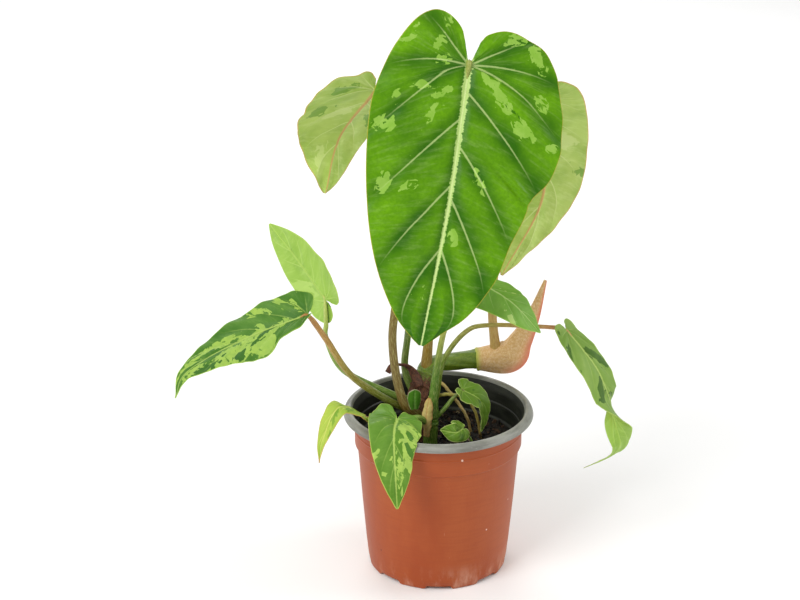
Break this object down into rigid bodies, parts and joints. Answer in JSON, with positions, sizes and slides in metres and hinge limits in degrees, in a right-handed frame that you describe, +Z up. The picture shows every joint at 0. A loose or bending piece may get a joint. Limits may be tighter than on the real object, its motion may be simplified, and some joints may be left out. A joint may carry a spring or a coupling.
{
  "type": "potted philodendron plant",
  "caption": "Young creeping philodendron with heart-shaped variegated leaves, rooted in soil in a thin tapered round nursery pot with a rolled rim and notched foot.",
  "frame": {"origin": "middle of the pot's pressed-down foot pad, on the surface that the pot stands on and on the pot's axis", "axes": "+Z up along the pot's axis; -Y is the front, which the largest leaf faces; +X to the right seen from the front"},
  "size_m": [0.282, 0.1643, 0.3638],
  "materials": {
    "pot_plastic": "satin",
    "soil": "matte",
    "leaf_variegated": "satin",
    "leaf_underside_pale": "satin",
    "petiole_green": "satin",
    "stem_brown_green": "satin",
    "cataphyll_tan": "satin",
    "dried_sheath": "matte",
    "bract_green": "satin",
    "root_yellow": "satin"
  },
  "bodies": {
    "root": {"pot": "pot_plastic", "potting_soil": "soil", "main_stem": "stem_brown_green", "young_shoot": "petiole_green", "cataphyll": "cataphyll_tan", "dried_cataphyll": "dried_sheath", "green_bract": "bract_green", "shoot_sheath": "bract_green", "leaf_blade_large_front": "leaf_variegated", "leaf_blade_back_left": "leaf_underside_pale", "leaf_blade_back_right": "leaf_underside_pale", "leaf_blade_left_upper": "leaf_underside_pale", "leaf_blade_left_long": "leaf_variegated", "leaf_blade_right_small": "leaf_variegated", "leaf_blade_right_hanging": "leaf_variegated", "leaf_blade_front_small": "leaf_variegated", "leaf_blade_left_small": "leaf_variegated", "leaf_blade_inner": "leaf_variegated", "leaf_blade_sprout": "leaf_variegated", "petiole_large_front": "petiole_green", "petiole_back_left": "petiole_green", "petiole_trimmed": "petiole_green", "petiole_back_right": "petiole_green", "petiole_right_small": "petiole_green", "petiole_right_hanging": "petiole_green", "petiole_left_long": "petiole_green", "petiole_left_upper": "petiole_green", "petiole_front_small": "petiole_green", "petiole_left_small": "petiole_green", "petiole_inner": "petiole_green", "petiole_sprout": "petiole_green", "aerial_root_arched": "root_yellow", "aerial_root_straight": "root_yellow"}
  },
  "joints": []
}
